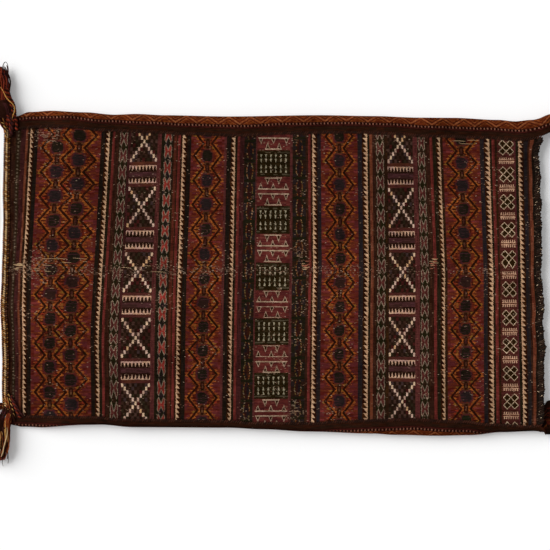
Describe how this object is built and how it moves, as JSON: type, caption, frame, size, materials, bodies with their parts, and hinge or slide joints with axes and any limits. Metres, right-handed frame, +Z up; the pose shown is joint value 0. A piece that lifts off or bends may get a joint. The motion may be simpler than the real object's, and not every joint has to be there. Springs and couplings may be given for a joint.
{
  "type": "flatweave storage bag",
  "caption": "Empty woven storage bag lying flat: patterned front and plain back panels, folded side bands that run on as straps, bound foot and mouth edges, corner tassels.",
  "frame": {"origin": "middle of the bag's back face, on the floor that it lies on", "axes": "+X from the sewn foot to the open mouth, +Y to the bag's left side, +Z up out of the patterned front"},
  "size_m": [1.2279, 0.7527, 0.0321],
  "materials": {
    "patterned_flatweave": "weft-faced wool flatweave in bands of maroon, dark brown, blue-black, rust and ivory",
    "plain_flatweave": "plain weft-faced wool flatweave in quiet brown and maroon stripes",
    "band_weave": "warp-faced wool band, dark brown edges with a rust and gold zigzag",
    "seam_yarn": "dark brown sewing yarn",
    "gold_yarn": "gold and dark brown chained overcasting yarn",
    "goat_hair": "dark brown goat hair, overcast and wrapped",
    "tassel_yarn": "rust, red, gold and brown wool yarn"
  },
  "bodies": {
    "root": {"front_panel": "patterned_flatweave", "back_panel": "plain_flatweave", "left_side_band": "band_weave", "right_side_band": "band_weave", "left_front_seam": "seam_yarn", "right_front_seam": "seam_yarn", "left_back_seam": "seam_yarn", "right_back_seam": "seam_yarn", "foot_binding": "gold_yarn", "mouth_binding_front": "goat_hair", "mouth_binding_back": "goat_hair", "left_foot_tassel_neck": "tassel_yarn", "left_foot_tassel_head": "goat_hair", "left_foot_tassel_tie": "gold_yarn", "left_foot_tassel_skirt": "tassel_yarn", "right_foot_tassel_neck": "tassel_yarn", "right_foot_tassel_head": "goat_hair", "right_foot_tassel_tie": "gold_yarn", "right_foot_tassel_skirt": "tassel_yarn", "left_strap_tassel_neck": "tassel_yarn", "left_strap_tassel_head": "goat_hair", "left_strap_tassel_tie": "gold_yarn", "left_strap_tassel_skirt": "tassel_yarn", "right_strap_tassel_neck": "tassel_yarn", "right_strap_tassel_head": "goat_hair", "right_strap_tassel_tie": "gold_yarn", "right_strap_tassel_skirt": "tassel_yarn"}
  },
  "joints": []
}
